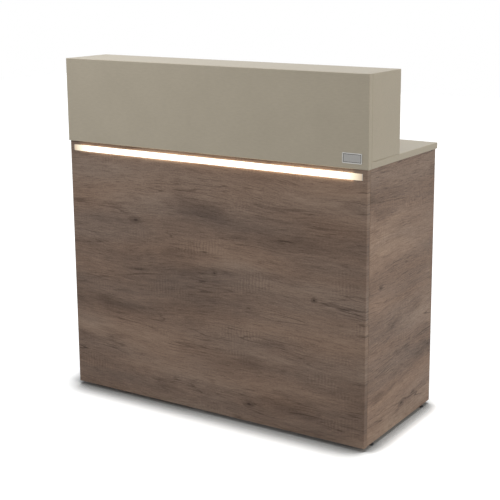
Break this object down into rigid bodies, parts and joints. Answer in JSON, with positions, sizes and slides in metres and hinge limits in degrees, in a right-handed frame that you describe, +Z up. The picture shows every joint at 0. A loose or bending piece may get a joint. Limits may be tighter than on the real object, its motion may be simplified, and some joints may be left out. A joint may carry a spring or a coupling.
{
  "type": "reception desk",
  "caption": "Panelled reception desk with a raised counter, a lit front line, a rear worktop, a lockable drawer on ball runners, a shelf bay and a knee space.",
  "frame": {"origin": "on the floor, under the middle of the desk's overall box", "axes": "+Z up, +X to the right as a visitor faces the desk, visitor at -Y and receptionist at +Y"},
  "size_m": [1.01, 0.4264, 1.015],
  "materials": {
    "oak_decor": "grey-brown oak decor foil, fine matt grain",
    "pale_decor": "plain stone-beige decor, satin",
    "drawer_board": "off-white foil, satin",
    "aluminium": "anodised satin",
    "opal": "opal light cover, lit warm white",
    "circuit": "white circuit strip",
    "zinc_steel": "bright zinc",
    "dark_steel": "satin nickel",
    "black_plastic": "moulded black",
    "white_plastic": "moulded white",
    "grey_plastic": "moulded grey",
    "badge_metal": "brushed blank plate with a raised rim"
  },
  "bodies": {
    "desk": {"front_panel": "oak_decor", "left_side_panel": "oak_decor", "right_side_panel": "oak_decor", "divider_panel": "oak_decor", "pedestal_bottom_panel": "oak_decor", "adjustable_shelf": "oak_decor", "worktop": "pale_decor", "hutch_front_panel": "pale_decor", "hutch_left_side": "pale_decor", "hutch_right_side": "pale_decor", "hutch_top": "pale_decor", "badge_plate": "badge_metal", "shelf_pin_left_front": "zinc_steel", "shelf_pin_left_back": "zinc_steel", "shelf_pin_right_front": "zinc_steel", "shelf_pin_right_back": "zinc_steel", "led_channel": "aluminium", "led_strip": "circuit", "led_diffuser": "opal", "led_end_cap_left": "white_plastic", "led_end_cap_right": "white_plastic", "led_lead": "white_plastic", "led_lead_clip": "white_plastic", "led_driver": "black_plastic", "lock_strike": "zinc_steel", "left_cabinet_rail": "zinc_steel", "right_cabinet_rail": "zinc_steel", "foot_insert_left_front": "zinc_steel", "foot_insert_left_back": "zinc_steel", "foot_insert_middle_front": "zinc_steel", "foot_insert_middle_back": "zinc_steel", "foot_insert_right_front": "zinc_steel", "foot_insert_right_back": "zinc_steel", "grommet_ring": "grey_plastic"},
    "drawer": {"drawer_front": "pale_decor", "drawer_left_side": "drawer_board", "drawer_right_side": "drawer_board", "drawer_back": "drawer_board", "drawer_bottom": "drawer_board", "drawer_handle": "dark_steel", "lock_housing": "zinc_steel", "left_drawer_rail": "zinc_steel", "right_drawer_rail": "zinc_steel"},
    "lock": {"lock_barrel": "zinc_steel", "lock_cam": "zinc_steel"},
    "left_middle_rail": {"left_middle_rail": "zinc_steel"},
    "right_middle_rail": {"right_middle_rail": "zinc_steel"},
    "left_outer_cage": {"left_outer_ball_cage": "dark_steel"},
    "left_inner_cage": {"left_inner_ball_cage": "dark_steel"},
    "right_outer_cage": {"right_outer_ball_cage": "dark_steel"},
    "right_inner_cage": {"right_inner_ball_cage": "dark_steel"},
    "foot_left_front": {"foot_left_front": "black_plastic"},
    "foot_left_back": {"foot_left_back": "black_plastic"},
    "foot_middle_front": {"foot_middle_front": "black_plastic"},
    "foot_middle_back": {"foot_middle_back": "black_plastic"},
    "foot_right_front": {"foot_right_front": "black_plastic"},
    "foot_right_back": {"foot_right_back": "black_plastic"},
    "grommet_cap": {"grommet_cap": "grey_plastic"}
  },
  "joints": [
    {"name": "drawer_slide", "type": "slide", "parent": "desk", "child": "drawer", "axis": [0, 1, 0], "range_m": [0, 0.28]},
    {"name": "left_middle_rail_slide", "type": "slide", "parent": "desk", "child": "left_middle_rail", "axis": [0, 1, 0], "range_m": [0, 0.14]},
    {"name": "right_middle_rail_slide", "type": "slide", "parent": "desk", "child": "right_middle_rail", "axis": [0, 1, 0], "range_m": [0, 0.14]},
    {"name": "left_outer_cage_slide", "type": "slide", "parent": "desk", "child": "left_outer_cage", "axis": [0, 1, 0], "range_m": [0, 0.07]},
    {"name": "left_inner_cage_slide", "type": "slide", "parent": "desk", "child": "left_inner_cage", "axis": [0, 1, 0], "range_m": [0, 0.21]},
    {"name": "right_outer_cage_slide", "type": "slide", "parent": "desk", "child": "right_outer_cage", "axis": [0, 1, 0], "range_m": [0, 0.07]},
    {"name": "right_inner_cage_slide", "type": "slide", "parent": "desk", "child": "right_inner_cage", "axis": [0, 1, 0], "range_m": [0, 0.21]},
    {"name": "lock_turn", "type": "hinge", "parent": "drawer", "child": "lock", "pos_m": [-0.283, 0.16225, 0.742], "axis": [0, 1, 0], "range_deg": [0, 90]},
    {"name": "foot_left_front_screw", "type": "slide", "parent": "desk", "child": "foot_left_front", "axis": [0, 0, -1], "range_m": [0, 0.012]},
    {"name": "foot_left_back_screw", "type": "slide", "parent": "desk", "child": "foot_left_back", "axis": [0, 0, -1], "range_m": [0, 0.012]},
    {"name": "foot_middle_front_screw", "type": "slide", "parent": "desk", "child": "foot_middle_front", "axis": [0, 0, -1], "range_m": [0, 0.012]},
    {"name": "foot_middle_back_screw", "type": "slide", "parent": "desk", "child": "foot_middle_back", "axis": [0, 0, -1], "range_m": [0, 0.012]},
    {"name": "foot_right_front_screw", "type": "slide", "parent": "desk", "child": "foot_right_front", "axis": [0, 0, -1], "range_m": [0, 0.012]},
    {"name": "foot_right_back_screw", "type": "slide", "parent": "desk", "child": "foot_right_back", "axis": [0, 0, -1], "range_m": [0, 0.012]},
    {"name": "grommet_cap_turn", "type": "hinge", "parent": "desk", "child": "grommet_cap", "pos_m": [0.33, -0.10375, 0.788], "axis": [0, 0, 1], "continuous": true}
  ],
  "couplings": [
    {"joint": "left_middle_rail_slide", "follows": "drawer_slide", "ratio": 0.5},
    {"joint": "right_middle_rail_slide", "follows": "drawer_slide", "ratio": 0.5},
    {"joint": "left_outer_cage_slide", "follows": "drawer_slide", "ratio": 0.25},
    {"joint": "left_inner_cage_slide", "follows": "drawer_slide", "ratio": 0.75},
    {"joint": "right_outer_cage_slide", "follows": "drawer_slide", "ratio": 0.25},
    {"joint": "right_inner_cage_slide", "follows": "drawer_slide", "ratio": 0.75}
  ]
}
